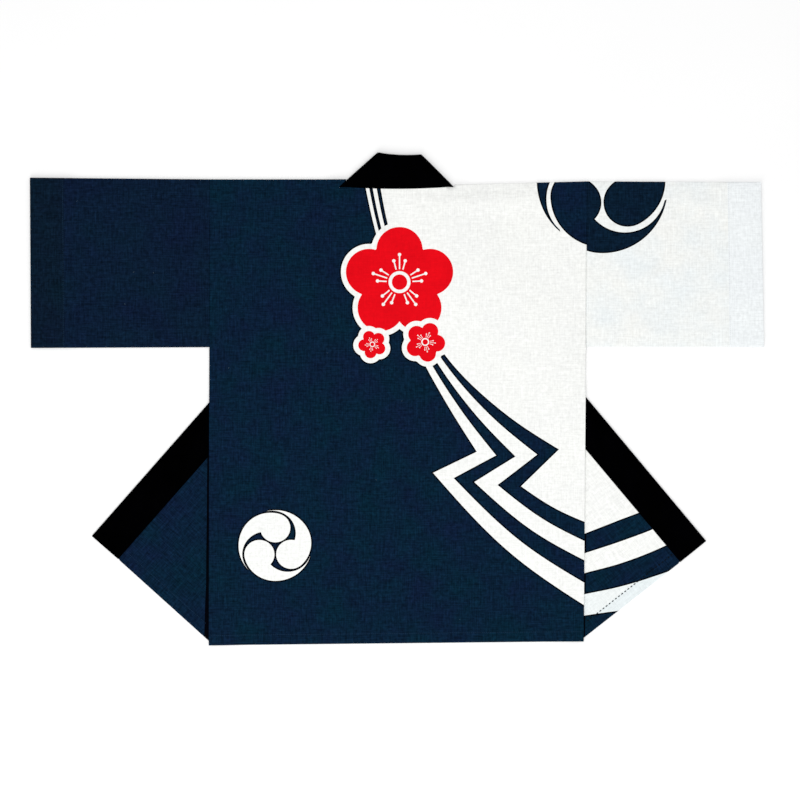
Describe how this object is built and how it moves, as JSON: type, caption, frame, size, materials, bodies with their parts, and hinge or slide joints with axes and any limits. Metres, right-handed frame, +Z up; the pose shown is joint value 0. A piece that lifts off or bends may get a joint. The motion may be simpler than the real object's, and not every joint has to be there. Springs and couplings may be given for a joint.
{
  "type": "happi coat",
  "caption": "Short straight-sleeved cotton coat with a wide collar band, laid flat with its back up and both fronts folded out sideways",
  "frame": {"origin": "on the surface that the coat lies on, under the middle of its bounding box", "axes": "+X to the coat's right-hand sleeve as seen from above, +Y towards the collar, +Z up out of the back"},
  "size_m": [1.2486, 0.8388, 0.0066],
  "materials": {
    "printed_cotton": "matte woven cotton, dyed navy and left white, with red",
    "navy_cotton": "matte woven cotton, dyed navy",
    "white_cotton": "matte woven cotton, white",
    "black_cotton": "matte woven cotton, black, doubled"
  },
  "bodies": {
    "root": {"body": "printed_cotton", "sleeve_left": "navy_cotton", "sleeve_right": "white_cotton", "collar": "black_cotton"}
  },
  "joints": []
}
